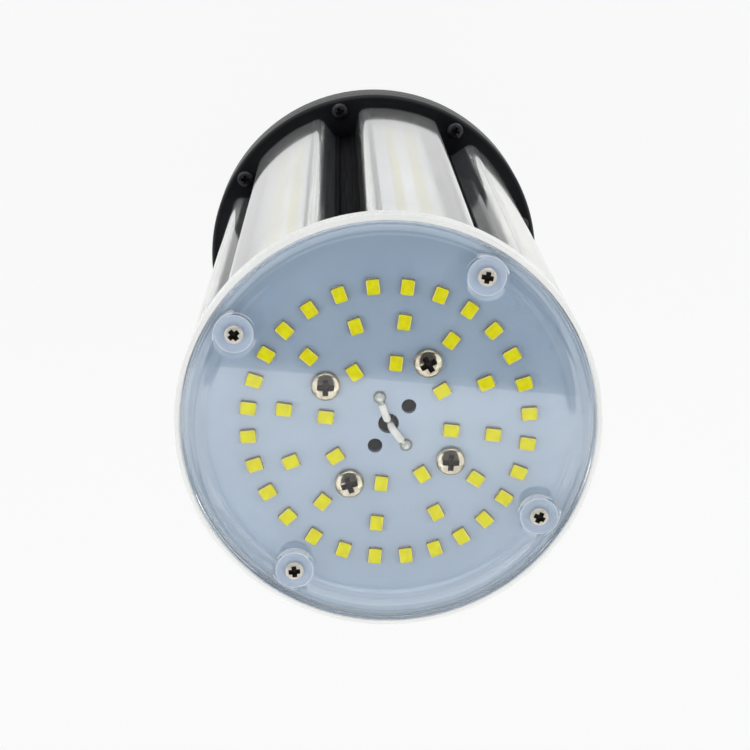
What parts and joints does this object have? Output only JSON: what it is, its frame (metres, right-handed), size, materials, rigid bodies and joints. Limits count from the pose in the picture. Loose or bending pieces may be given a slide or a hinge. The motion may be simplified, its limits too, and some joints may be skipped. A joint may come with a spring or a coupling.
{
  "type": "corn led bulb",
  "caption": "Corn LED bulb: clear-covered chip strips round a black extruded core, a round chip board under a clear cover at its end, a finned driver housing and a screw cap.",
  "frame": {"origin": "on the axis, at the tip of the cap's centre contact", "axes": "+Z along the axis from the cap to the lit face; +X through a channel that carries a screw port"},
  "size_m": [0.093, 0.093, 0.2758],
  "materials": {
    "contact_metal": "satin, tinned",
    "cap_insulator": "matt, dark fired insulator",
    "cap_shell": "satin nickel plate",
    "cap_neck": "matt white moulding",
    "black_metal": "satin black",
    "strip_board": "white solder mask",
    "front_board": "pale blue-grey solder mask",
    "chip": "yellow phosphor in a white package",
    "clear_cover": "clear, glossy",
    "front_ring": "white, smooth",
    "screw_steel": "plated",
    "lead_white": "white insulation",
    "solder": "bright",
    "driver_board": "green board",
    "ferrite": "dark ferrite",
    "winding": "yellow taped winding",
    "capacitor": "sleeved can",
    "film_capacitor": "dipped",
    "device_black": "moulded package"
  },
  "bodies": {
    "root": {"centre_contact": "contact_metal", "cap_insulator": "cap_insulator", "screw_shell": "cap_shell", "cap_neck": "cap_neck", "driver_housing": "black_metal", "driver_board": "driver_board", "transformer_core": "ferrite", "transformer_winding": "winding", "smoothing_capacitor": "capacitor", "output_capacitor": "capacitor", "filter_choke": "ferrite", "film_capacitor": "film_capacitor", "rectifier_bridge": "device_black", "power_transistor": "device_black", "rear_flange": "black_metal", "core_heat_sink": "black_metal", "strip_board_1": "strip_board", "strip_chips_1": "chip", "strip_cover_1": "clear_cover", "strip_board_2": "strip_board", "strip_chips_2": "chip", "strip_cover_2": "clear_cover", "strip_board_3": "strip_board", "strip_chips_3": "chip", "strip_cover_3": "clear_cover", "strip_board_4": "strip_board", "strip_chips_4": "chip", "strip_cover_4": "clear_cover", "strip_board_5": "strip_board", "strip_chips_5": "chip", "strip_cover_5": "clear_cover", "strip_board_6": "strip_board", "strip_chips_6": "chip", "strip_cover_6": "clear_cover", "strip_board_7": "strip_board", "strip_chips_7": "chip", "strip_cover_7": "clear_cover", "strip_board_8": "strip_board", "strip_chips_8": "chip", "strip_cover_8": "clear_cover", "front_ring": "front_ring", "front_board": "front_board", "front_chips": "chip", "front_cover": "clear_cover", "output_lead_1": "lead_white", "output_lead_2": "lead_white", "solder_joints": "solder", "centre_lead": "lead_white", "shell_lead": "lead_white", "flange_screws": "screw_steel", "core_screws": "screw_steel", "board_screws": "screw_steel", "cover_screws": "screw_steel"}
  },
  "joints": []
}
